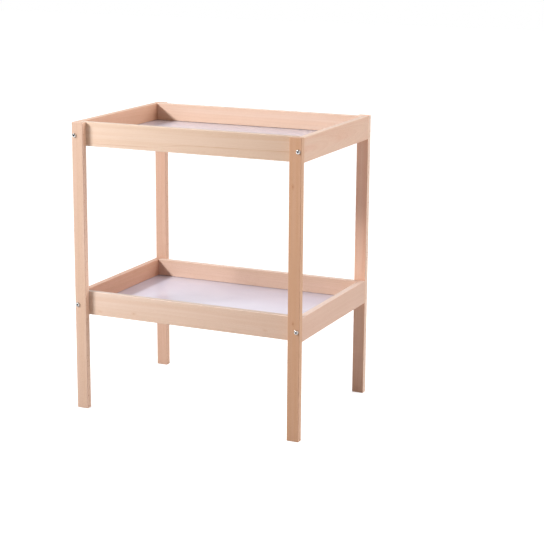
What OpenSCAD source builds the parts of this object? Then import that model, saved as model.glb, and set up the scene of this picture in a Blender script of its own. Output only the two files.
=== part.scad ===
// Changing table in solid beech: four flat legs, and two open trays whose
// painted shelf boards sit in grooves. Each tray is a ring of four rails
// joined by dowels. One bolt through each leg, into a barrel nut in the end
// of the side rail, holds each tray corner.
//
// Millimetres. The origin is on the floor under the middle of the table,
// +Z is up, +X is the right-hand end and -Y is the front.

/* [Overall] */
// Overall width, across the outer sides of the legs
table_w = 720; // [480:1:1000]
// Overall depth, over the bolt heads on the front and back legs
table_d = 530; // [360:1:800]
// Overall height, which is also the length of a leg
table_h = 860; // [600:1:1100]

/* [Legs] */
// Width of a leg's front face
leg_w = 36; // [28:1:60]
// Thickness of a leg, front to back
leg_t = 20; // [16:1:32]
// Radius of the eased edges of the legs and rails
edge_ease = 1.5; // [0.5:0.1:3]

/* [Tray rails] */
// Height of a tray rail
rail_h = 70; // [58:1:110]
// Thickness of a tray rail
rail_t = 18; // [15:1:26]
// Height of the lower tray's underside above the floor
lower_tray_z = 287; // [60:1:440]

/* [Shelf boards] */
// Thickness of a shelf board
board_t = 4; // [3:0.5:5]
// Drop from the rails' top edge to a board's top face
board_drop = 52; // [49:1:53]
// Depth of the groove that holds a board's edge
groove_depth = 5; // [3:0.5:6]
// Clearance above a board in its groove, and past its edges
groove_gap = 0.4; // [0.2:0.1:1]

/* [Bolts] */
// Drop from the rails' top edge to a bolt's axis
bolt_drop = 38; // [34:1:40]
// Diameter of a bolt's shank
bolt_d = 6; // [5:0.5:7]
// Diameter of a bolt's head
head_d = 13; // [10:0.5:16]
// Height of a bolt's head, which stands proud of the leg
head_h = 4; // [3:0.5:6]
// Radius of the rounded rim of a bolt's head
head_rim = 1.4; // [0.5:0.1:2]
// Width across the flats of a bolt's hex socket
socket_w = 5; // [4:0.5:6]
// Depth of a bolt's hex socket
socket_depth = 2.6; // [1.5:0.1:2.8]
// Clearance all round a shank in its bore
bolt_gap = 0.25; // [0.1:0.05:0.5]
// Length of shank that stands past the barrel nut
bolt_tip = 3; // [1:0.5:6]

/* [Barrel nuts] */
// Diameter of a barrel nut
nut_d = 10; // [9:0.5:11]
// Length of a barrel nut
nut_len = 14; // [11:1:16]
// Distance from the side rail's end to a barrel nut's axis
nut_setback = 32; // [22:1:60]
// Clearance all round a barrel nut in its bore
nut_gap = 0.1; // [0.05:0.05:0.3]
// Width of the driver slot in a barrel nut's lower end
slot_w = 1.6; // [1:0.1:2]
// Depth of the driver slot
slot_depth = 1.5; // [1:0.1:2.5]

/* [Dowels] */
// Diameter of a dowel
dowel_d = 6; // [5:0.5:7]
// Depth that a corner dowel reaches into the side rail's inner face
dowel_in_side = 10; // [8:0.5:12]
// Depth that a dowel reaches into the end of a rail
dowel_in_end = 18; // [12:1:24]
// Depth that a leg dowel reaches into the leg
dowel_in_leg = 11; // [8:0.5:13]
// Distance from the bolt's axis to the corner dowel above it and the one below
corner_dowel_pitch = 9; // [8:0.5:10]
// Distance from the bolt's axis up to the leg dowel
leg_dowel_rise = 20; // [17:1:22]
// Glue space past each end of a dowel
glue_gap = 1; // [0.5:0.5:2]

/* [Hidden] */
$fn = 48;

// Colours of the three materials and of the dowels
beech = "#E8CBB0";
white_paint = "#E9E3EA";
zinc = "#C9CCD0";
dowel_beech = "#D9B48C";

// How far a cutter runs past the face it enters
cut = 1;
// Size of the chamfer on a dowel's ends, a shank's tip and a barrel nut's ends
chamfer = 0.6;

// Sides of a hex socket, and its width across the corners
hex_sides = 6;
socket_corners = socket_w / cos(180 / hex_sides);

// Places of the flat faces that pieces share
side_x = table_w / 2;                 // outer side of the legs and side rails
side_inner_x = side_x - rail_t;       // inner face of a side rail
leg_face_y = table_d / 2 - head_h;    // outer face of a leg, under the bolt heads
leg_inner_y = leg_face_y - leg_t;     // inner face of a leg, where the rails meet it
rail_inner_y = leg_inner_y - rail_t;  // inner face of a front or back rail
bolt_x = side_x - rail_t / 2;         // a bolt runs down the middle of the side rail
dowel_y = leg_inner_y - rail_t / 2;   // corner dowels run down the middle of a long rail
nut_y = leg_inner_y - nut_setback;

// Undersides of the two trays
lower_z = lower_tray_z;
upper_z = table_h - rail_h;

// Heights within a tray, above its underside
board_bed = rail_h - board_drop - board_t;
bolt_rise = rail_h - bolt_drop;
corner_dowel_rises = [bolt_rise - corner_dowel_pitch, bolt_rise + corner_dowel_pitch];
leg_dowel_height = bolt_rise + leg_dowel_rise;

// Lengths that follow from what a piece spans
side_rail_len = 2 * leg_inner_y;
long_rail_len = 2 * side_inner_x;
board_hold = groove_depth - groove_gap;
bolt_reach = nut_setback + nut_d / 2 + bolt_tip;
bolt_len = leg_t + bolt_reach;

// A rectangle with eased corners, centred on the origin
module eased_rect(w, h) {
    square([w - 2 * edge_ease, h], center = true);
    square([w, h - 2 * edge_ease], center = true);
    for (sx = [-1, 1], sy = [-1, 1])
        translate([sx * (w / 2 - edge_ease), sy * (h / 2 - edge_ease)])
            circle(edge_ease);
}

// A block with all its edges eased, centred on the origin
module eased_block(w, d, h) {
    intersection() {
        linear_extrude(h, center = true)
            eased_rect(w, d);
        rotate([90, 0, 0])
            linear_extrude(d, center = true)
                eased_rect(w, h);
        rotate([90, 0, 90])
            linear_extrude(w, center = true)
                eased_rect(d, h);
    }
}

// Round bars that start at the origin: one runs towards -Y, the other towards +X
module bar_along_y(d, len) {
    rotate([90, 0, 0])
        cylinder(d = d, h = len);
}

module bar_along_x(d, len) {
    rotate([0, 90, 0])
        cylinder(d = d, h = len);
}

// A dowel with chamfered ends, standing on the origin
module dowel(len) {
    cylinder(d1 = dowel_d - 2 * chamfer, d2 = dowel_d, h = chamfer);
    translate([0, 0, chamfer])
        cylinder(d = dowel_d, h = len - 2 * chamfer);
    translate([0, 0, len - chamfer])
        cylinder(d1 = dowel_d, d2 = dowel_d - 2 * chamfer, h = chamfer);
}

// Everything is drawn at the back right corner and mirrored to the others:
// side is -1 for left and 1 for right, face is -1 for front and 1 for back
module at_side(side) {
    mirror([side < 0 ? 1 : 0, 0, 0])
        children();
}

module at_face(face) {
    mirror([0, face < 0 ? 1 : 0, 0])
        children();
}

module at_corners() {
    for (side = [-1, 1], face = [-1, 1])
        at_side(side) at_face(face)
            children();
}

// A leg, with a bolt bore and a blind dowel bore for each tray
module leg() {
    difference() {
        translate([side_x - leg_w / 2, leg_face_y - leg_t / 2, table_h / 2])
            eased_block(leg_w, leg_t, table_h);
        for (z = [lower_z, upper_z]) {
            translate([bolt_x, leg_face_y + cut, z + bolt_rise])
                bar_along_y(bolt_d + 2 * bolt_gap, leg_t + 2 * cut);
            translate([bolt_x, leg_inner_y + dowel_in_leg + glue_gap, z + leg_dowel_height])
                bar_along_y(dowel_d, dowel_in_leg + glue_gap + cut);
        }
    }
}

// The bores in one end of a side rail: bolt, leg dowel, barrel nut from below,
// and the two corner dowels in the inner face
module side_rail_bores() {
    translate([bolt_x, leg_inner_y + cut, bolt_rise])
        bar_along_y(bolt_d + 2 * bolt_gap, bolt_reach + glue_gap + cut);
    translate([bolt_x, leg_inner_y + cut, leg_dowel_height])
        bar_along_y(dowel_d, dowel_in_end + glue_gap + cut);
    translate([bolt_x, nut_y, -cut])
        cylinder(d = nut_d + 2 * nut_gap, h = bolt_rise + nut_len / 2 + cut);
    for (rise = corner_dowel_rises)
        translate([side_inner_x - cut, dowel_y, rise])
            bar_along_x(dowel_d, dowel_in_side + glue_gap + cut);
}

// The right-hand side rail of a tray whose underside is at z = 0
module side_rail() {
    difference() {
        translate([side_x - rail_t / 2, 0, rail_h / 2])
            eased_block(rail_t, side_rail_len, rail_h);
        translate([side_inner_x - cut, -side_rail_len / 2 - cut, board_bed])
            cube([groove_depth + cut, side_rail_len + 2 * cut, board_t + groove_gap]);
        for (face = [-1, 1])
            at_face(face)
                side_rail_bores();
    }
}

// The back rail of a tray whose underside is at z = 0; the front one mirrors it
module long_rail() {
    difference() {
        translate([0, leg_inner_y - rail_t / 2, rail_h / 2])
            eased_block(long_rail_len, rail_t, rail_h);
        translate([-long_rail_len / 2 - cut, rail_inner_y - cut, board_bed])
            cube([long_rail_len + 2 * cut, groove_depth + cut, board_t + groove_gap]);
        for (side = [-1, 1], rise = corner_dowel_rises)
            at_side(side)
                translate([side_inner_x - dowel_in_end - glue_gap, dowel_y, rise])
                    bar_along_x(dowel_d, dowel_in_end + glue_gap + cut);
    }
}

// A shelf board, resting in the grooves of its four rails
module shelf_board() {
    board_w = 2 * (side_inner_x + board_hold);
    board_d = 2 * (rail_inner_y + board_hold);
    translate([-board_w / 2, -board_d / 2, board_bed])
        cube([board_w, board_d, board_t]);
}

// Half of a bolt head's section: flat seat, flat top and rounded rim
module head_section() {
    square([head_d / 2 - head_rim, head_h]);
    square([head_d / 2, head_h - head_rim]);
    translate([head_d / 2 - head_rim, head_h - head_rim])
        circle(head_rim);
}

// A bolt whose seat is at z = 0, with its head above and its shank below
module bolt() {
    difference() {
        rotate_extrude()
            head_section();
        translate([0, 0, head_h - socket_depth])
            cylinder(d = socket_corners, h = socket_depth + cut, $fn = hex_sides);
    }
    translate([0, 0, chamfer - bolt_len])
        cylinder(d = bolt_d, h = bolt_len - chamfer);
    translate([0, 0, -bolt_len])
        cylinder(d1 = bolt_d - 2 * chamfer, d2 = bolt_d, h = chamfer);
}

// The four bolts of a tray whose underside is at z = 0
module leg_bolts() {
    at_corners()
        translate([bolt_x, leg_face_y, bolt_rise])
            rotate([-90, 0, 0])
                bolt();
}

// A barrel nut standing on the origin, with its cross bore along Y
module barrel_nut() {
    difference() {
        union() {
            cylinder(d1 = nut_d - 2 * chamfer, d2 = nut_d, h = chamfer);
            translate([0, 0, chamfer])
                cylinder(d = nut_d, h = nut_len - 2 * chamfer);
            translate([0, 0, nut_len - chamfer])
                cylinder(d1 = nut_d, d2 = nut_d - 2 * chamfer, h = chamfer);
        }
        translate([0, nut_d / 2 + cut, nut_len / 2])
            bar_along_y(bolt_d, nut_d + 2 * cut);
        translate([-nut_d / 2 - cut, -slot_w / 2, -cut])
            cube([nut_d + 2 * cut, slot_w, slot_depth + cut]);
    }
}

// The four barrel nuts of a tray whose underside is at z = 0
module barrel_nuts() {
    at_corners()
        translate([bolt_x, nut_y, bolt_rise - nut_len / 2])
            barrel_nut();
}

// The eight dowels that join the long rails to the side rails
module corner_dowels() {
    at_corners()
        for (rise = corner_dowel_rises)
            translate([side_inner_x - dowel_in_end, dowel_y, rise])
                rotate([0, 90, 0])
                    dowel(dowel_in_end + dowel_in_side);
}

// The four dowels that locate the side rails on the legs
module leg_dowels() {
    at_corners()
        translate([bolt_x, leg_inner_y + dowel_in_leg, leg_dowel_height])
            rotate([90, 0, 0])
                dowel(dowel_in_leg + dowel_in_end);
}

// One module for each sub-part, in its place on the table
module front_left_leg() { color(beech) at_side(-1) at_face(-1) leg(); }
module front_right_leg() { color(beech) at_face(-1) leg(); }
module back_left_leg() { color(beech) at_side(-1) leg(); }
module back_right_leg() { color(beech) leg(); }

module upper_front_rail() { color(beech) translate([0, 0, upper_z]) at_face(-1) long_rail(); }
module upper_back_rail() { color(beech) translate([0, 0, upper_z]) long_rail(); }
module upper_left_rail() { color(beech) translate([0, 0, upper_z]) at_side(-1) side_rail(); }
module upper_right_rail() { color(beech) translate([0, 0, upper_z]) side_rail(); }

module lower_front_rail() { color(beech) translate([0, 0, lower_z]) at_face(-1) long_rail(); }
module lower_back_rail() { color(beech) translate([0, 0, lower_z]) long_rail(); }
module lower_left_rail() { color(beech) translate([0, 0, lower_z]) at_side(-1) side_rail(); }
module lower_right_rail() { color(beech) translate([0, 0, lower_z]) side_rail(); }

module upper_shelf_board() { color(white_paint) translate([0, 0, upper_z]) shelf_board(); }
module lower_shelf_board() { color(white_paint) translate([0, 0, lower_z]) shelf_board(); }

module upper_leg_bolts() { color(zinc) translate([0, 0, upper_z]) leg_bolts(); }
module lower_leg_bolts() { color(zinc) translate([0, 0, lower_z]) leg_bolts(); }

module upper_barrel_nuts() { color(zinc) translate([0, 0, upper_z]) barrel_nuts(); }
module lower_barrel_nuts() { color(zinc) translate([0, 0, lower_z]) barrel_nuts(); }

module upper_corner_dowels() { color(dowel_beech) translate([0, 0, upper_z]) corner_dowels(); }
module lower_corner_dowels() { color(dowel_beech) translate([0, 0, lower_z]) corner_dowels(); }

module upper_leg_dowels() { color(dowel_beech) translate([0, 0, upper_z]) leg_dowels(); }
module lower_leg_dowels() { color(dowel_beech) translate([0, 0, lower_z]) leg_dowels(); }

front_left_leg();
front_right_leg();
back_left_leg();
back_right_leg();
upper_front_rail();
upper_back_rail();
upper_left_rail();
upper_right_rail();
lower_front_rail();
lower_back_rail();
lower_left_rail();
lower_right_rail();
upper_shelf_board();
lower_shelf_board();
upper_leg_bolts();
lower_leg_bolts();
upper_barrel_nuts();
lower_barrel_nuts();
upper_corner_dowels();
lower_corner_dowels();
upper_leg_dowels();
lower_leg_dowels();
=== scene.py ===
import math

import bmesh
import bpy
from mathutils import Matrix, Vector


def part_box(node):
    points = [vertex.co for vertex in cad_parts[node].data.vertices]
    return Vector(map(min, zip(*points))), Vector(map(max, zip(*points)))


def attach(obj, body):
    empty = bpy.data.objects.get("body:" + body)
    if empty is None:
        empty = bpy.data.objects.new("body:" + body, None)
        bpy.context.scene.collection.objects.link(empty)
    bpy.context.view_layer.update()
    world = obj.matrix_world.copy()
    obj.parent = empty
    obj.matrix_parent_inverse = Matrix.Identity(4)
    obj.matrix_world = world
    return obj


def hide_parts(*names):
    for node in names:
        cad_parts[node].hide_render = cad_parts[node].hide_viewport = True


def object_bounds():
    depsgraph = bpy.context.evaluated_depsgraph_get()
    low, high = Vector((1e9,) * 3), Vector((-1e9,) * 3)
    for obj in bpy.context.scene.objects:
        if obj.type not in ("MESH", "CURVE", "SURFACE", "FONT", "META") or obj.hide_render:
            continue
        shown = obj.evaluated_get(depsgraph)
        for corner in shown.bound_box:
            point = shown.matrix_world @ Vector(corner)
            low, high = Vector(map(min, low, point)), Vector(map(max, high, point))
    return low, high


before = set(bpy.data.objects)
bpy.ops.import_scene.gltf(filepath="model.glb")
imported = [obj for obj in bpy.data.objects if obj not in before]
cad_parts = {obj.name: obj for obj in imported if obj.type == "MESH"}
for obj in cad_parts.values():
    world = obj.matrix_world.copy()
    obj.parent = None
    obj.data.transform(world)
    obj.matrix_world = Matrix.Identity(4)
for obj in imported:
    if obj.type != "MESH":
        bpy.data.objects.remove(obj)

cad_low, cad_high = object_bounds()


# ---------------------------------------------------------------- camera
# A long lens at the front right of the table, a little above the changing
# tray and aimed at the middle of the table. A small shift sets the table
# to the left of the picture.
view_azimuth = math.radians(26.05)
view_elevation = math.radians(13.03)
view_distance = 4.65
sensor_width = 36
focal_length = 103.03
shift_across = 0.0889
shift_up = -0.0191

table_middle = (cad_low + cad_high) / 2
away = Vector((
    math.sin(view_azimuth) * math.cos(view_elevation),
    -math.cos(view_azimuth) * math.cos(view_elevation),
    math.sin(view_elevation),
))
lens = bpy.data.cameras.new("studio_camera")
lens.sensor_width = sensor_width
lens.lens = focal_length
lens.shift_x = shift_across
lens.shift_y = shift_up
camera = bpy.data.objects.new("studio_camera", lens)
camera.location = table_middle + away * view_distance
camera.rotation_euler = away.to_track_quat("Z", "Y").to_euler()
bpy.context.scene.collection.objects.link(camera)
bpy.context.scene.camera = camera
bpy.context.scene.view_settings.view_transform = "Standard"


# ---------------------------------------------------------------- studio
# A white floor that runs off into a lit white sweep, a fill from the right
# and a strip softbox as the key on the left. The side of the room where the
# camera stands is left dim, which keeps the shadows and the bolts crisp.
def add(tree, kind, values=None, **settings):
    """Adds a shader node. Values are numbers, colours or the outputs to join to its inputs."""
    node = tree.nodes.new("ShaderNode" + kind)
    for name, value in settings.items():
        setattr(node, name, value)
    for socket, value in (values or {}).items():
        if isinstance(value, bpy.types.NodeSocket):
            tree.links.new(value, node.inputs[socket])
        else:
            node.inputs[socket].default_value = value
    return node


def maths(tree, operation, first, second=0.0):
    """The result of one sum on values that change over the surface."""
    return add(tree, "Math", {0: first, 1: second}, operation=operation).outputs[0]


def tinted(tree, amount, under, over, how="MIX"):
    """One colour laid over another by a mask."""
    mix = add(tree, "Mix", {0: amount, 6: under, 7: over}, data_type="RGBA", blend_type=how)
    return mix.outputs[2]


def spread(tree, value, low, high, to_low=0.0, to_high=1.0):
    """Stretches the part of a value between low and high, and clips the rest."""
    stretched = add(tree, "MapRange", {
        "Value": value,
        "From Min": low,
        "From Max": high,
        "To Min": to_low,
        "To Max": to_high,
    }, interpolation_type="SMOOTHSTEP")
    return stretched.outputs[0]


floor_reach = 14.0
floor_drop = 0.0002
floor_grey = (0.50, 0.50, 0.50, 1)
floor_glow = 0.80
front_light = 0.09
front_ends = -0.25
front_tint = (1.0, 0.72, 0.55, 1)
backdrop_light = 0.97
backdrop_starts = 0.45
fill_light = 1.40
fill_edge = 0.30
fill_full = 0.90
ceiling_light = 0.12
ceiling_edge = 0.10
ceiling_full = 0.90
white = (1.0, 1.0, 1.0, 1)
fill_direction = Vector((0.80, 0.58, 0.15)).normalized()
strip_width = 0.45
strip_length = 2.20
strip_power = 262
strip_place = (-2.53, -3.00, 2.50)
strip_tilt = math.radians(53)

sheet = bmesh.new()
bmesh.ops.create_grid(sheet, x_segments=4, y_segments=4, size=floor_reach)
floor_mesh = bpy.data.meshes.new("studio_floor")
sheet.to_mesh(floor_mesh)
sheet.free()
floor = bpy.data.objects.new("studio_floor", floor_mesh)
floor.location.z = -floor_drop
bpy.context.scene.collection.objects.link(floor)

floor_paint = bpy.data.materials.new("studio_floor")
floor_paint.use_nodes = True
floor_shader = floor_paint.node_tree.nodes["Principled BSDF"]
floor_shader.inputs["Base Color"].default_value = floor_grey
floor_shader.inputs["Roughness"].default_value = 0.9
floor_shader.inputs["Specular IOR Level"].default_value = 0.0
floor_shader.inputs["Emission Color"].default_value = white
shown_white = add(floor_paint.node_tree, "MapRange", {
    "Value": add(floor_paint.node_tree, "LightPath").outputs["Is Camera Ray"],
    "To Min": 0.0,
    "To Max": floor_glow,
})
floor_paint.node_tree.links.new(shown_white.outputs[0], floor_shader.inputs["Emission Strength"])
floor_mesh.materials.append(floor_paint)

# A strip softbox beside the table, with its long side running from front to
# back, so that the side rails cast crisp shadows and the legs soft ones.
strip = bpy.data.lights.new("strip_softbox", "AREA")
strip.shape = "RECTANGLE"
strip.size = strip_width
strip.size_y = strip_length
strip.energy = strip_power
strip_stand = bpy.data.objects.new("strip_softbox", strip)
strip_stand.location = strip_place
strip_stand.rotation_euler = (0.0, -strip_tilt, 0.0)
strip_stand.visible_camera = False
bpy.context.scene.collection.objects.link(strip_stand)

room = bpy.data.worlds.new("white_room")
room.use_nodes = True
bpy.context.scene.world = room
walls = room.node_tree
walls.nodes.clear()
direction = add(walls, "TexCoord").outputs["Generated"]
facing = add(walls, "SeparateXYZ", {0: direction}).outputs
backdrop = spread(walls, facing["Y"], front_ends, backdrop_starts, front_light, backdrop_light)
towards_fill = add(walls, "VectorMath", {0: direction, 1: fill_direction}, operation="DOT_PRODUCT")
fill = spread(walls, towards_fill.outputs["Value"], fill_edge, fill_full, 0.0, fill_light)
overhead = spread(walls, facing["Z"], ceiling_edge, ceiling_full, 0.0, ceiling_light)
around = maths(walls, "ADD", maths(walls, "ADD", backdrop, fill), overhead)
warmth = add(walls, "MapRange", {
    "Value": facing["Y"],
    "From Min": front_ends,
    "From Max": backdrop_starts,
})
tone = tinted(walls, warmth.outputs[0], front_tint, white)
seen = add(walls, "Background", {"Color": white, "Strength": 1.0})
lit = add(walls, "Background", {"Color": tone, "Strength": around})
which = add(walls, "MixShader", {
    0: add(walls, "LightPath").outputs["Is Camera Ray"],
    1: lit.outputs[0],
    2: seen.outputs[0],
})
add(walls, "OutputWorld", {"Surface": which.outputs[0]})


# ------------------------------------------------------------------ legs
# Four flat legs of solid beech, planed and sanded, with every edge eased
# and a clear satin lacquer. Each is bored right through for the two tray
# bolts, and has a blind bore for the dowel above each bolt.
edge_ease = 0.0015
bolt_bore = 0.0065
dowel_bore = 0.0060
dowel_in_leg = 0.012
bore_sides = 32
past = 0.001
ease_steps = 4
sharp_from = math.radians(35)
face_weight = 80


def block(low, high):
    """A plain box between two corners."""
    shape = bmesh.new()
    bmesh.ops.create_cube(shape, size=1.0)
    for corner in shape.verts:
        corner.co = [low[i] + (corner.co[i] + 0.5) * (high[i] - low[i]) for i in range(3)]
    return shape


def eased_block(low, high, ease, steps):
    """A box between two corners, with its edges rounded over."""
    shape = block(low, high)
    bmesh.ops.bevel(
        shape, geom=shape.edges[:], offset=ease, offset_type="OFFSET",
        segments=steps, profile=0.5, affect="EDGES", clamp_overlap=True,
    )
    return shape


def drill(mouth, towards, width, depth):
    """A round cutter that starts just outside the mouth of a bore."""
    shape = bmesh.new()
    turn = Vector(towards).to_track_quat("Z", "Y").to_matrix().to_4x4()
    middle = Vector(mouth) + Vector(towards) * (depth - past) / 2
    bmesh.ops.create_cone(
        shape, cap_ends=True, segments=bore_sides, radius1=width / 2, radius2=width / 2,
        depth=depth + past, matrix=Matrix.Translation(middle) @ turn,
    )
    return shape


def new_piece(name, shape):
    """Turns a bmesh into an object of the scene."""
    mesh = bpy.data.meshes.new(name)
    shape.to_mesh(mesh)
    shape.free()
    piece = bpy.data.objects.new(name, mesh)
    bpy.context.scene.collection.objects.link(piece)
    return piece


def machine(piece, cutters):
    """Takes the cutters out of a board, which keeps its own name."""
    tools = [new_piece("cutter", cutter) for cutter in cutters]
    for tool in tools:
        cut = piece.modifiers.new("cut", "BOOLEAN")
        cut.operation = "DIFFERENCE"
        cut.solver = "EXACT"
        cut.object = tool
    bpy.context.view_layer.update()
    seen_now = bpy.context.evaluated_depsgraph_get()
    blank = piece.data
    piece.data = bpy.data.meshes.new_from_object(piece.evaluated_get(seen_now))
    piece.modifiers.clear()
    bpy.data.meshes.remove(blank)
    piece.data.name = piece.name
    for tool in tools:
        mesh = tool.data
        bpy.data.objects.remove(tool)
        bpy.data.meshes.remove(mesh)


def finish_board(piece, low, high):
    """Notes how far round its eased edges each point lies, and shades the faces flat."""
    mesh = piece.data
    half_round = 1 - math.sqrt(0.5)
    edge = mesh.attributes.new("eased_edge", "FLOAT", "POINT")
    for point, note in zip(mesh.vertices, edge.data):
        depths = sorted(min(point.co[i] - low[i], high[i] - point.co[i]) for i in range(3))
        note.value = max(0.0, 1 - depths[1] / edge_ease) / (1 - half_round)
    mesh.shade_smooth()
    mesh.set_sharp_from_angle(angle=sharp_from)
    even = piece.modifiers.new("flat_faces", "WEIGHTED_NORMAL")
    even.keep_sharp = True
    even.weight = face_weight


def new_group(name, inputs, outputs):
    """An empty shader group, with what it is given and what it makes."""
    tree = bpy.data.node_groups.new(name, "ShaderNodeTree")
    for socket, kind in inputs.items():
        tree.interface.new_socket(socket, in_out="INPUT", socket_type="NodeSocket" + kind)
    for socket, kind in outputs.items():
        tree.interface.new_socket(socket, in_out="OUTPUT", socket_type="NodeSocket" + kind)
    given_here = tree.nodes.new("NodeGroupInput").outputs
    made_here = tree.nodes.new("NodeGroupOutput").inputs
    return tree, given_here, made_here


def vector_maths(tree, operation, first, second):
    """The vector that comes of one sum on two vectors."""
    return add(tree, "VectorMath", {0: first, 1: second}, operation=operation).outputs[0]


def scaled(tree, vector, factor):
    """A vector times one number."""
    return add(tree, "VectorMath", {0: vector, "Scale": factor}, operation="SCALE").outputs[0]


def noise(tree, vector, detail=0.0, roughness=0.5):
    """Smooth noise with one wave to each unit of the vector."""
    made = add(tree, "TexNoise", {
        "Vector": vector,
        "Scale": 1.0,
        "Detail": detail,
        "Roughness": roughness,
    })
    return made.outputs["Factor" if "Factor" in made.outputs else "Fac"]


# The figure of sawn beech as solid wood, so that faces, edges and end grain
# agree. X runs along the grain and the pith lies along the X axis. It has
# soft growth rings, the short rays that fleck a flat-sawn face, and fibres.
ring_spacing = 0.0028
late_depth = 0.28
late_tint = (0.86, 0.78, 0.71, 1)
ray_depth = 0.60
ray_tint = (0.74, 0.60, 0.50, 1)
fibre_depth = 0.40
fibre_tint = (0.93, 0.90, 0.87, 1)
lacquer_roughness = 0.38
fibre_roughness = 0.10

sawn_beech, given, made = new_group(
    "sawn_beech",
    {"Place": "Vector", "Ring Spacing": "Float", "Wander": "Float",
     "Light Wood": "Color", "Warm Wood": "Color"},
    {"Color": "Color", "Roughness": "Float", "Height": "Float"},
)
slow = vector_maths(sawn_beech, "MULTIPLY", given["Place"], (1.4, 8.0, 8.0))
drift = add(sawn_beech, "TexNoise", {"Vector": slow, "Scale": 1.0, "Detail": 2.0})
lean = vector_maths(sawn_beech, "SUBTRACT", drift.outputs["Color"], (0.5, 0.5, 0.5))
sway = scaled(sawn_beech, lean, given["Wander"])
grown = vector_maths(sawn_beech, "ADD", given["Place"], sway)
along, deep, wide = add(sawn_beech, "SeparateXYZ", {0: grown}).outputs
from_pith = maths(sawn_beech, "SQRT", maths(
    sawn_beech, "ADD",
    maths(sawn_beech, "MULTIPLY", deep, deep),
    maths(sawn_beech, "MULTIPLY", wide, wide),
))
round_pith = maths(sawn_beech, "MULTIPLY", maths(sawn_beech, "ARCTAN2", wide, deep), from_pith)


def wood_noise(waves_along, waves_deep, waves_round, detail=0.0, roughness=0.5):
    """Noise in the wood, with its waves per metre along the grain, outwards and round the pith."""
    vector = add(sawn_beech, "CombineXYZ", {
        0: maths(sawn_beech, "MULTIPLY", along, waves_along),
        1: maths(sawn_beech, "MULTIPLY", from_pith, waves_deep),
        2: maths(sawn_beech, "MULTIPLY", round_pith, waves_round),
    })
    return noise(sawn_beech, vector.outputs[0], detail, roughness)


seasons = maths(sawn_beech, "MULTIPLY", wood_noise(0.3, 120.0, 2.0), 2.2)
ring = maths(sawn_beech, "FRACT", maths(
    sawn_beech, "ADD",
    maths(sawn_beech, "DIVIDE", from_pith, given["Ring Spacing"]),
    seasons,
))
late_wood = maths(sawn_beech, "POWER", ring, 3.0)
streaks = spread(sawn_beech, wood_noise(1.1, 60.0, 26.0, 3.0, 0.6), 0.34, 0.66)
rays = spread(sawn_beech, wood_noise(340.0, 45.0, 3400.0), 0.64, 0.76)
fibres = spread(sawn_beech, wood_noise(38.0, 2300.0, 2300.0, 2.0, 0.6), 0.35, 0.70)
wood = tinted(sawn_beech, streaks, given["Light Wood"], given["Warm Wood"])
for mask, depth, tint in (
    (late_wood, late_depth, late_tint),
    (rays, ray_depth, ray_tint),
    (fibres, fibre_depth, fibre_tint),
):
    wood = tinted(sawn_beech, maths(sawn_beech, "MULTIPLY", mask, depth), wood, tint, "MULTIPLY")
matt = maths(
    sawn_beech, "ADD",
    maths(sawn_beech, "MULTIPLY", fibres, fibre_roughness),
    lacquer_roughness,
)
sunk = maths(sawn_beech, "SUBTRACT", 1.0, maths(
    sawn_beech, "ADD",
    maths(sawn_beech, "MULTIPLY", fibres, 0.6),
    maths(sawn_beech, "MULTIPLY", rays, 0.4),
))
sawn_beech.links.new(wood, made["Color"])
sawn_beech.links.new(matt, made["Roughness"])
sawn_beech.links.new(sunk, made["Height"])

# An eased edge is sanded across the fibres, so that it is paler and smoother than the faces, unevenly
# along its length. The paler colour is partly a painted highlight, standing in for the light caught
# along the rounded arris.
eased_edge, given, made = new_group(
    "eased_edge",
    {"Edge": "Float", "Place": "Vector", "Color": "Color", "Sanded Highlight Color": "Color",
     "Roughness": "Float"},
    {"Color": "Color", "Roughness": "Float"},
)
edge_patches = 45.0
edge_polish = 0.08
uneven = scaled(eased_edge, given["Place"], edge_patches)
rubbed_and_highlit = maths(eased_edge, "MULTIPLY", given["Edge"], spread(
    eased_edge, noise(eased_edge, uneven, 2.0), 0.30, 0.60, 0.45, 1.0,
))
sanded_and_highlit = tinted(eased_edge, rubbed_and_highlit, given["Color"], given["Sanded Highlight Color"])
smoother = maths(
    eased_edge, "SUBTRACT",
    given["Roughness"],
    maths(eased_edge, "MULTIPLY", rubbed_and_highlit, edge_polish),
)
eased_edge.links.new(sanded_and_highlit, made["Color"])
eased_edge.links.new(smoother, made["Roughness"])

# A pin knot is a brown speck a few millimetres long, with a paler halo drawn
# out along the grain.
pin_knot, given, made = new_group(
    "pin_knot",
    {"Place": "Vector", "Knot": "Vector", "Size": "Float", "Color": "Color"},
    {"Color": "Color"},
)
halo_tint = (0.84, 0.70, 0.58, 1)
knot_tint = (0.62, 0.42, 0.28, 1)
apart = vector_maths(pin_knot, "SUBTRACT", given["Place"], given["Knot"])
drawn = vector_maths(pin_knot, "MULTIPLY", apart, (0.5, 1.0, 1.0))
reach = add(pin_knot, "VectorMath", {0: drawn}, operation="LENGTH").outputs["Value"]
sizes_off = maths(pin_knot, "DIVIDE", reach, given["Size"])
halo = spread(pin_knot, sizes_off, 0.8, 3.0, 0.45, 0.0)
heart = spread(pin_knot, sizes_off, 0.35, 1.0, 0.85, 0.0)
haloed = tinted(pin_knot, halo, given["Color"], halo_tint, "MULTIPLY")
knotted = tinted(pin_knot, heart, haloed, knot_tint, "MULTIPLY")
pin_knot.links.new(knotted, made["Color"])

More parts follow.
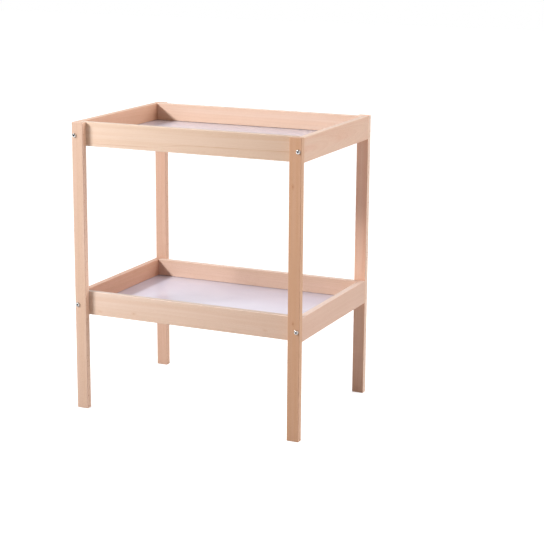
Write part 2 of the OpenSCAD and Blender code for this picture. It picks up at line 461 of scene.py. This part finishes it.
# A dark growth line is the edge of one slow year. It runs the length of a board
# and lifts a little on its way past a buried twig.
growth_line, given, made = new_group(
    "growth_line",
    {"Place": "Vector", "Low": "Float", "High": "Float", "Lifts From": "Float",
     "Lifts To": "Float", "Color": "Color"},
    {"Color": "Color"},
)
line_tint = (0.76, 0.62, 0.52, 1)
line_patches = 14.0
run = add(growth_line, "SeparateXYZ", {0: given["Place"]}).outputs
course = spread(
    growth_line, run["X"],
    given["Lifts From"], given["Lifts To"], given["Low"], given["High"],
)
aside = maths(growth_line, "ABSOLUTE", maths(growth_line, "SUBTRACT", run["Z"], course))
patchy = scaled(growth_line, given["Place"], line_patches)
drawn_line = maths(
    growth_line, "MULTIPLY",
    spread(growth_line, aside, 0.0003, 0.0012, 0.7, 0.0),
    spread(growth_line, noise(growth_line, patchy, 1.0), 0.35, 0.60, 0.35, 1.0),
)
lined = tinted(growth_line, drawn_line, given["Color"], line_tint, "MULTIPLY")
growth_line.links.new(lined, made["Color"])

# How a board is turned so that its grain runs along X in the log
grain_turns = {
    "X": Matrix.Identity(4),
    "Y": Matrix.Rotation(-math.pi / 2, 4, "Z"),
    "Z": Matrix.Rotation(math.pi / 2, 4, "Y"),
}

# A board's narrow faces are given a factor on its colour, which makes the rails' tops and bottoms a
# little whiter. The legs' factors are painted light: they lighten the legs' narrow sides to make up for
# light that this studio doesn't give them.
narrow_tint = (0.92, 1.00, 1.05)
sanded_highlight_lift = 1.10
beech_wander = 0.010
beech_shine = 0.20


def lacquered_beech(name, board):
    """The lacquered beech of one board, cut from its own place in the log."""
    low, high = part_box(name)
    middle = (low + high) / 2
    slope = Matrix.Rotation(board["slope"], 4, "Y")
    skew = Matrix.Rotation(board["skew"], 4, "Z")
    turn = slope @ skew @ grain_turns[board["grain"]]
    material = bpy.data.materials.new(name + "_beech")
    material.use_nodes = True
    tree = material.node_tree
    shader = tree.nodes["Principled BSDF"]
    where = add(tree, "TexCoord").outputs["Object"]
    in_log = add(tree, "Mapping", {
        "Vector": where,
        "Rotation": turn.to_euler(),
        "Location": Vector(board["log_place"]) - turn @ middle,
    })
    # Painted shade: a board's colours can be darkened towards one end, standing in for the light falling
    # off away from the lamp on the left (the front rails' right ends).
    grain_axis = "XYZ".index(board["grain"])
    towards_shaded_end = add(tree, "MapRange", {
        "Value": add(tree, "SeparateXYZ", {0: where}).outputs[grain_axis],
        "From Min": low[grain_axis],
        "From Max": high[grain_axis],
    }).outputs[0]
    woods = []
    for wood in ("light", "warm"):
        far = [part * share for part, share in zip(board[wood], board.get("far_end_painted_shade", (1, 1, 1)))]
        woods.append(tinted(tree, towards_shaded_end, (*board[wood], 1), (*far, 1)))
    figure = add(tree, "Group", {
        "Place": in_log.outputs[0],
        "Ring Spacing": ring_spacing,
        "Wander": board.get("wander", beech_wander),
        "Light Wood": woods[0],
        "Warm Wood": woods[1],
    }, node_tree=sawn_beech)
    colour = figure.outputs["Color"]
    for low_line, high_line, lifts_from, lifts_to in board.get("growth_lines", []):
        line = add(tree, "Group", {
            "Place": in_log.outputs[0],
            "Low": board["log_place"][2] + low_line,
            "High": board["log_place"][2] + high_line,
            "Lifts From": board["log_place"][0] + lifts_from,
            "Lifts To": board["log_place"][0] + lifts_to,
            "Color": colour,
        }, node_tree=growth_line)
        colour = line.outputs["Color"]
    for knot in board.get("knots", []):
        speck = add(tree, "Group", {
            "Place": in_log.outputs[0],
            "Knot": Vector(board["log_place"]) + Vector(knot[:3]),
            "Size": knot[3],
            "Color": colour,
        }, node_tree=pin_knot)
        colour = speck.outputs["Color"]
    # The narrow faces take the factor; on the legs this is painted light on their sides.
    facing = add(tree, "SeparateXYZ", {0: add(tree, "TexCoord").outputs["Normal"]}).outputs
    narrow_axis = "X" if board["grain"] == "Z" else "Z"
    narrow = spread(tree, maths(tree, "ABSOLUTE", facing[narrow_axis]), 0.5, 0.9)
    paler = vector_maths(tree, "MULTIPLY", colour, board.get("narrow_face_painted_light", narrow_tint))
    colour = tinted(tree, narrow, colour, paler)
    # The sanded colour is lifted above the face colour: sanding and a painted highlight along the edges.
    sanded_highlit_wood = [min(1.0, sanded_highlight_lift * part) for part in board["light"]]
    edge = add(tree, "Group", {
        "Edge": add(tree, "Attribute", attribute_name="eased_edge").outputs["Fac"],
        "Place": where,
        "Color": colour,
        "Sanded Highlight Color": (*sanded_highlit_wood, 1),
        "Roughness": figure.outputs["Roughness"],
    }, node_tree=eased_edge)
    relief = add(tree, "Bump", {
        "Strength": 0.25,
        "Distance": 0.0002,
        "Height": figure.outputs["Height"],
    })
    tree.links.new(edge.outputs["Color"], shader.inputs["Base Color"])
    tree.links.new(edge.outputs["Roughness"], shader.inputs["Roughness"])
    tree.links.new(relief.outputs[0], shader.inputs["Normal"])
    shader.inputs["Specular IOR Level"].default_value = beech_shine
    return material


def make_board(name, board, cutters, grain):
    """One board of the table: shape, bores, finish and place in the frame."""
    low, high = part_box(name)
    piece = new_piece(name + "_board", eased_block(low, high, edge_ease, ease_steps))
    machine(piece, cutters)
    finish_board(piece, low, high)
    piece.data.materials.clear()
    piece.data.materials.append(lacquered_beech(name, {**board, "grain": grain}))
    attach(piece, "root")
    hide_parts(name)


# Each board's colours were scaled until its rendered tone matched the real table's, so they carry
# painted light and shade besides the wood's own tone: the back right leg is painted lighter to make up
# for light that this studio doesn't give it.
legs = {
    "front_left_leg": {
        "light": (0.671, 0.489, 0.396), "warm": (0.654, 0.464, 0.352), "log_place": (0.3, 0.085, 0.030),
        "skew": 0.006, "slope": 0.004, "narrow_face_painted_light": (1.42, 1.46, 1.50),
    },
    "front_right_leg": {
        "light": (0.569, 0.349, 0.234), "warm": (0.551, 0.325, 0.200), "log_place": (1.9, 0.020, 0.110),
        "skew": 0.004, "slope": 0.006, "narrow_face_painted_light": (1.27, 1.40, 1.50),
        "knots": [(0.296, -0.010, 0.0043, 0.0023), (-0.088, -0.010, 0.0023, 0.0017)],
    },
    "back_left_leg": {
        "light": (0.690, 0.458, 0.347), "warm": (0.656, 0.415, 0.305), "log_place": (3.1, 0.100, 0.020),
        "skew": -0.005, "slope": 0.004, "narrow_face_painted_light": (1.07, 1.10, 1.10),
    },
    "back_right_leg": {
        "light": (0.930, 0.625, 0.478), "warm": (0.892, 0.556, 0.406), "log_place": (4.7, 0.095, 0.025),
        "skew": 0.005, "slope": -0.004, "narrow_face_painted_light": (0.96, 1.22, 1.40),
    },
}
tray_levels = ("lower", "upper")

for name, board in legs.items():
    low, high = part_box(name)
    front = low.y < 0
    outer_face = low.y if front else high.y
    inner_face = high.y if front else low.y
    inward = (0, 1, 0) if front else (0, -1, 0)
    outward = (0, -1, 0) if front else (0, 1, 0)
    side = 1 if high.x > 0 else -1
    thickness = high.y - low.y
    cutters = []
    for level in tray_levels:
        bolts_low, bolts_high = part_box(level + "_leg_bolts")
        dowels_low, dowels_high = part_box(level + "_leg_dowels")
        axis_x = side * (dowels_high.x - dowel_bore / 2)
        bolt_mouth = (axis_x, outer_face, (bolts_low.z + bolts_high.z) / 2)
        dowel_mouth = (axis_x, inner_face, (dowels_low.z + dowels_high.z) / 2)
        cutters.append(drill(bolt_mouth, inward, bolt_bore, thickness + past))
        cutters.append(drill(dowel_mouth, outward, dowel_bore, dowel_in_leg))
    make_board(name, board, cutters, "Z")


# ----------------------------------------------------------------- rails
# Each tray is a ring of four beech rails on edge, grooved inside for the
# shelf board. The side rails run from leg to leg. The front and back rails
# butt against their inner faces on two glued dowels at each corner. The
# side rails are bored from below for the barrel nuts.
groove_depth = 0.005
groove_clearance = 0.0010
nut_bore = 0.0102
nut_bore_past = 0.007
dowel_in_end = 0.019
dowel_in_side = 0.011
bolt_in_rail = 0.041


def groove(name, level, low, high):
    """The cutter of the groove along a rail's inner face."""
    board_low, board_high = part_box(level + "_shelf_board")
    cut_low = Vector((low.x - past, low.y - past, board_low.z))
    cut_high = Vector((high.x + past, high.y + past, board_high.z + groove_clearance))
    across = 1 if high.x - low.x > high.y - low.y else 0
    if low[across] > 0:
        cut_high[across] = low[across] + groove_depth
    else:
        cut_low[across] = high[across] - groove_depth
    return block(cut_low, cut_high)


# Like the legs', the rails' colours were scaled until each rendered tone matched the real table's, so
# they hold painted light and shade as well as the wood's own tone; the front rails are darkened towards
# their far ends as painted shade.
rails = {
    "upper_front_rail": {
        "light": (0.776, 0.619, 0.508), "warm": (0.739, 0.562, 0.437), "log_place": (0.5, 0.030, 0.120),
        "skew": 0.004, "slope": 0.012, "far_end_painted_shade": (0.74, 0.69, 0.65),
        "growth_lines": [(-0.0235, -0.0120, -0.14, 0.02)],
    },
    "upper_back_rail": {
        "light": (0.835, 0.651, 0.543), "warm": (0.825, 0.610, 0.478), "log_place": (2.2, 0.090, 0.020),
        "skew": 0.006, "slope": 0.004,
    },
    "upper_left_rail": {
        "light": (0.729, 0.468, 0.339), "warm": (0.691, 0.427, 0.301), "log_place": (4.0, 0.110, 0.010),
        "skew": 0.010, "slope": 0.004,
    },
    "upper_right_rail": {
        "light": (0.797, 0.600, 0.485), "warm": (0.780, 0.537, 0.419), "log_place": (5.4, 0.060, 0.006),
        "skew": 0.030, "slope": 0.006, "wander": 0.016,
    },
    "lower_front_rail": {
        "light": (0.763, 0.611, 0.518), "warm": (0.727, 0.555, 0.447), "log_place": (7.0, 0.050, 0.070),
        "skew": 0.008, "slope": 0.006, "far_end_painted_shade": (0.80, 0.74, 0.70),
        "knots": [(-0.287, -0.009, -0.021, 0.0021), (-0.174, -0.009, -0.015, 0.0022),
                  (0.247, -0.009, -0.016, 0.0022)],
    },
    "lower_back_rail": {
        "light": (0.764, 0.558, 0.454), "warm": (0.726, 0.520, 0.396), "log_place": (8.4, 0.085, 0.015),
        "skew": 0.005, "slope": 0.004,
    },
    "lower_left_rail": {
        "light": (0.686, 0.407, 0.296), "warm": (0.631, 0.370, 0.255), "log_place": (9.7, 0.100, 0.012),
        "skew": 0.012, "slope": 0.004,
    },
    "lower_right_rail": {
        "light": (0.777, 0.579, 0.484), "warm": (0.734, 0.528, 0.432), "log_place": (11.2, 0.075, 0.040),
        "skew": 0.010, "slope": 0.010,
    },
}

for name, board in rails.items():
    level = name.split("_")[0]
    low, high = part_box(name)
    bolts_low, bolts_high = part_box(level + "_leg_bolts")
    corner_low, corner_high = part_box(level + "_corner_dowels")
    leg_low, leg_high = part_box(level + "_leg_dowels")
    nuts_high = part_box(level + "_barrel_nuts")[1]
    bolt_z = (bolts_low.z + bolts_high.z) / 2
    leg_dowel_z = (leg_low.z + leg_high.z) / 2
    corner_rises = (corner_low.z + dowel_bore / 2, corner_high.z - dowel_bore / 2)
    long_rail = high.x - low.x > high.y - low.y
    middle = (low + high) / 2
    cutters = [groove(name, level, low, high)]
    for end in (-1, 1):
        if long_rail:
            end_x = low.x if end < 0 else high.x
            for rise in corner_rises:
                mouth = (end_x, middle.y, rise)
                cutters.append(drill(mouth, (-end, 0, 0), dowel_bore, dowel_in_end))
            continue
        side = 1 if middle.x > 0 else -1
        end_y = low.y if end < 0 else high.y
        inner_x = low.x if side > 0 else high.x
        inward = (0, -end, 0)
        corner_y = end * (corner_high.y - dowel_bore / 2)
        nut_y = end * (nuts_high.y - (nuts_high.x - middle.x * side))
        nut_depth = bolt_z + nut_bore_past - low.z
        cutters.append(drill((middle.x, end_y, bolt_z), inward, bolt_bore, bolt_in_rail))
        cutters.append(drill((middle.x, end_y, leg_dowel_z), inward, dowel_bore, dowel_in_end))
        cutters.append(drill((middle.x, nut_y, low.z), (0, 0, 1), nut_bore, nut_depth))
        for rise in corner_rises:
            mouth = (inner_x, corner_y, rise)
            cutters.append(drill(mouth, (side, 0, 0), dowel_bore, dowel_in_side))
    make_board(name, board, cutters, "X" if long_rail else "Y")


# ---------------------------------------------------------- shelf boards
# A thin fibreboard in each tray, rolled with a smooth white paint that has
# a faint lilac cast and a satin shine. Its edges sit in the rails' grooves.
paint_round = 0.0004
paint_steps = 2
paint_shade = (0.630, 0.612, 0.722, 1)
paint_light = (0.655, 0.640, 0.745, 1)
peel_waves = (700.0, 520.0, 700.0)
cloud_waves = (7.0, 11.0, 7.0)

white_paint = bpy.data.materials.new("white_paint")
white_paint.use_nodes = True
tree = white_paint.node_tree
shader = tree.nodes["Principled BSDF"]
where = add(tree, "TexCoord").outputs["Object"]
skin = vector_maths(tree, "MULTIPLY", where, peel_waves)
clouds = vector_maths(tree, "MULTIPLY", where, cloud_waves)
orange_peel = noise(tree, skin, 1.0)
patches = noise(tree, clouds, 3.0)
paint = tinted(tree, spread(tree, patches, 0.35, 0.65), paint_shade, paint_light)
paint_sheen = maths(tree, "ADD", maths(tree, "MULTIPLY", patches, 0.05), 0.20)
relief = add(tree, "Bump", {"Strength": 0.10, "Distance": 0.0001, "Height": orange_peel})
tree.links.new(paint, shader.inputs["Base Color"])
tree.links.new(paint_sheen, shader.inputs["Roughness"])
tree.links.new(relief.outputs[0], shader.inputs["Normal"])

for level in tray_levels:
    name = level + "_shelf_board"
    low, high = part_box(name)
    piece = new_piece(name + "_painted", eased_block(low, high, paint_round, paint_steps))
    piece.data.shade_smooth()
    even = piece.modifiers.new("flat_faces", "WEIGHTED_NORMAL")
    even.weight = face_weight
    piece.data.materials.append(white_paint)
    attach(piece, "root")
    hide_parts(name)


# ----------------------------------------------------------------- bolts
# Furniture bolts of zinc-plated steel: a low round head with a rounded rim
# and a hex socket, turned and pressed, on a plain shank with a rolled thread
# at its tip. One goes through each leg into a barrel nut in the side rail.
head_radius = 0.0065
rim_round = 0.0022
socket_flats = 0.005
socket_depth = 0.0026
socket_chamfer = 0.0003
# How strongly each ring of the socket is painted in shade, from its floor to its mouth.
socket_shade = (1.0, 1.0, 0.6)
socket_floor_share = 0.3
shank_radius = 0.003
shank_length = 0.060
thread_length = 0.022
thread_pitch = 0.001
thread_depth = 0.0005
tip_share = 0.5
head_sharp_from = math.radians(40)
zinc_dull = (0.74, 0.77, 0.80, 1)
zinc_bright = (0.86, 0.86, 0.85, 1)
socket_shade_black = (0.10, 0.11, 0.13, 1)
grit_waves = 2600.0
bloom_waves = 260.0
round_sides = 48
rim_steps = 6
steps_per_turn = 6


def hex_radius(angle, flats):
    """How far a hexagon's side is from its centre, in one direction."""
    sixth = math.pi / 3
    return flats / 2 / math.cos((angle % sixth) - sixth / 2)


def bolt_rings(top):
    """The rings that skin a bolt from its socket's floor out to its tip: radius and height."""
    def socket_floor(angle):
        return socket_floor_share * hex_radius(angle, socket_flats)

    def socket_wall(angle):
        return hex_radius(angle, socket_flats)

    def socket_mouth(angle):
        return hex_radius(angle, socket_flats) + socket_chamfer

    rings = [
        (socket_floor, top - socket_depth),
        (socket_wall, top - socket_depth),
        (socket_wall, top - socket_chamfer),
        (socket_mouth, top),
    ]
    for step in range(rim_steps + 1):
        turn = math.pi / 2 * step / rim_steps
        radius = head_radius - rim_round + rim_round * math.sin(turn)
        height = top - rim_round + rim_round * math.cos(turn)
        rings.append((lambda a, r=radius: r, height))
    rings.append((lambda a: head_radius, 0.0))
    rings.append((lambda a: shank_radius, 0.0))
    thread_start = thread_length - shank_length
    rings.append((lambda a: shank_radius, thread_start))
    steps = round((thread_length - thread_pitch) / thread_pitch * steps_per_turn)
    for step in range(1, steps + 1):
        height = thread_start - step * thread_pitch / steps_per_turn
        run_out = min(1.0, step / steps_per_turn)

        def flank(angle, height=height, run_out=run_out):
            phase = (height / thread_pitch + angle / (2 * math.pi)) % 1
            return shank_radius - run_out * thread_depth * (1 - abs(2 * phase - 1))

        rings.append((flank, height))
    rings.append((lambda a: shank_radius - thread_depth, -shank_length + thread_pitch / 2))
    rings.append((lambda a: tip_share * shank_radius, -shank_length))
    return rings


def add_bolt(shape, seat, outward, head_height):
    """Skins one bolt whose head sits on the leg at seat."""
    turn = Vector(outward).to_track_quat("Z", "Y").to_matrix()
    inside = shape.verts.layers.float["socket"]
    rows = []
    for ring, (radius, height) in enumerate(bolt_rings(head_height)):
        row = []
        for i in range(round_sides):
            angle = 2 * math.pi * i / round_sides
            reach = radius(angle)
            point = Vector((reach * math.cos(angle), reach * math.sin(angle), height))
            row.append(shape.verts.new(Vector(seat) + turn @ point))
            row[-1][inside] = socket_shade[ring] if ring < len(socket_shade) else 0.0
        rows.append(row)
    for inner, outer in zip(rows, rows[1:]):
        for i in range(round_sides):
            j = (i + 1) % round_sides
            shape.faces.new((inner[i], outer[i], outer[j], inner[j]))
    shape.faces.new(rows[0])
    shape.faces.new(reversed(rows[-1]))


zinc_plate = bpy.data.materials.new("zinc_plate")
zinc_plate.use_nodes = True
tree = zinc_plate.node_tree
shader = tree.nodes["Principled BSDF"]
where = add(tree, "TexCoord").outputs["Object"]
grit = noise(tree, scaled(tree, where, grit_waves), 2.0)
bloom = noise(tree, scaled(tree, where, bloom_waves), 2.0)
plate = tinted(tree, spread(tree, bloom, 0.35, 0.65), zinc_dull, zinc_bright)
polish = maths(tree, "ADD", maths(tree, "MULTIPLY", bloom, 0.14), 0.10)
relief = add(tree, "Bump", {"Strength": 0.08, "Distance": 0.00005, "Height": grit})
# Painted shade: the hex socket is coloured near black, standing in for the shade in its recess.
socket_shaded = add(tree, "Attribute", attribute_name="socket").outputs["Fac"]
plate = tinted(tree, socket_shaded, plate, socket_shade_black)
tree.links.new(plate, shader.inputs["Base Color"])
tree.links.new(polish, shader.inputs["Roughness"])
tree.links.new(relief.outputs[0], shader.inputs["Normal"])
shader.inputs["Metallic"].default_value = 1.0

for level in tray_levels:
    name = level + "_leg_bolts"
    low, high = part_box(name)
    leg_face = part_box("back_right_leg")[1].y
    head_height = high.y - leg_face
    bolt_z = (low.z + high.z) / 2
    bolt_x = high.x - head_radius
    shape = bmesh.new()
    shape.verts.layers.float.new("socket")
    for side in (-1, 1):
        for face in (-1, 1):
            seat = (side * bolt_x, face * leg_face, bolt_z)
            add_bolt(shape, seat, (0, face, 0), head_height)
    bmesh.ops.recalc_face_normals(shape, faces=shape.faces[:])
    piece = new_piece(name + "_zinc", shape)
    piece.data.shade_smooth()
    piece.data.set_sharp_from_angle(angle=head_sharp_from)
    piece.data.materials.append(zinc_plate)
    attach(piece, "root")
    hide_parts(name)


# ----------------------------------------------------------- barrel nuts
# Turned steel barrels with a driver slot, pushed up into the side rails from
# below. Their lower ends can be seen inside the bores.
for level in tray_levels:
    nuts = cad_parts[level + "_barrel_nuts"]
    nuts.data.materials.clear()
    nuts.data.materials.append(zinc_plate)


# ---------------------------------------------------------------- dowels
# Raw beech pegs, glued into the rails and pushed dry into the legs. All of
# them are hidden once the table stands.
raw_beech = bpy.data.materials.new("raw_beech")
raw_beech.use_nodes = True
tree = raw_beech.node_tree
shader = tree.nodes["Principled BSDF"]
where = add(tree, "TexCoord").outputs["Object"]
peg_wood = add(tree, "Group", {
    "Place": where,
    "Ring Spacing": 0.0022,
    "Wander": 0.004,
    "Light Wood": (0.69, 0.45, 0.26, 1),
    "Warm Wood": (0.62, 0.39, 0.22, 1),
}, node_tree=sawn_beech)
tree.links.new(peg_wood.outputs["Color"], shader.inputs["Base Color"])
relief = add(tree, "Bump", {
    "Strength": 0.4,
    "Distance": 0.0003,
    "Height": peg_wood.outputs["Height"],
})
tree.links.new(relief.outputs[0], shader.inputs["Normal"])
shader.inputs["Roughness"].default_value = 0.8

for level in tray_levels:
    for joint in ("_corner_dowels", "_leg_dowels"):
        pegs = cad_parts[level + joint]
        pegs.data.materials.clear()
        pegs.data.materials.append(raw_beech)
